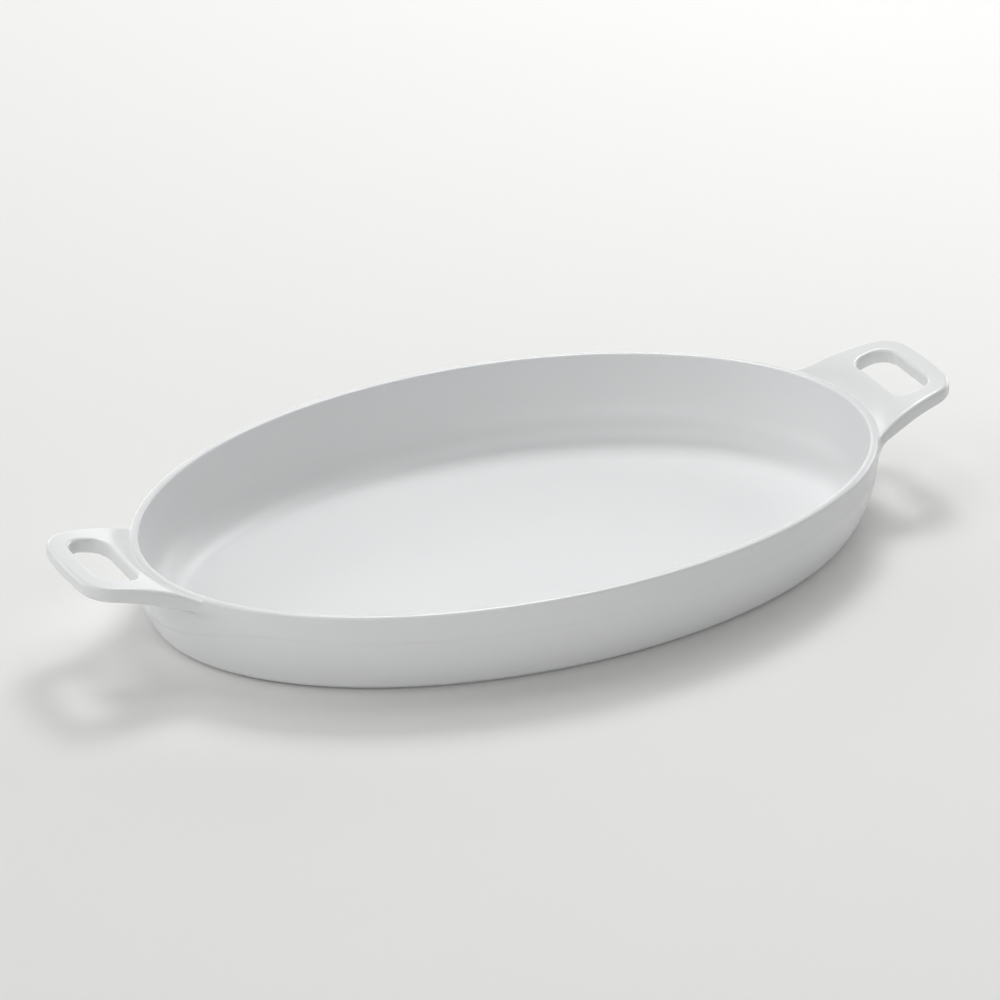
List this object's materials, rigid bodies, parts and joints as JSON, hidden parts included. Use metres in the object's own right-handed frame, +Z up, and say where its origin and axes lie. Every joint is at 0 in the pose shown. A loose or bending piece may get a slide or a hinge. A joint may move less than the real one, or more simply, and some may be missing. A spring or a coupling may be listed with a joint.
{
  "type": "gratin dish",
  "caption": "Shallow oval gratin dish of enamelled cast iron with a raised, pierced grip plate at each end.",
  "frame": {"origin": "middle of the plane that the foot ring stands on", "axes": "+Z up out of the dish's mouth, +X along its length towards one handle, +Y across it"},
  "size_m": [0.401, 0.209, 0.0476],
  "materials": {
    "bare_iron": "ground bare iron on the foot ring, covered everywhere else",
    "gloss_enamel": "smooth glossy white vitreous enamel",
    "satin_enamel": "satin white vitreous enamel"
  },
  "bodies": {
    "root": {"cast_body": "bare_iron", "exterior_enamel": "gloss_enamel", "underside_enamel": "gloss_enamel", "interior_enamel": "satin_enamel"}
  },
  "joints": []
}
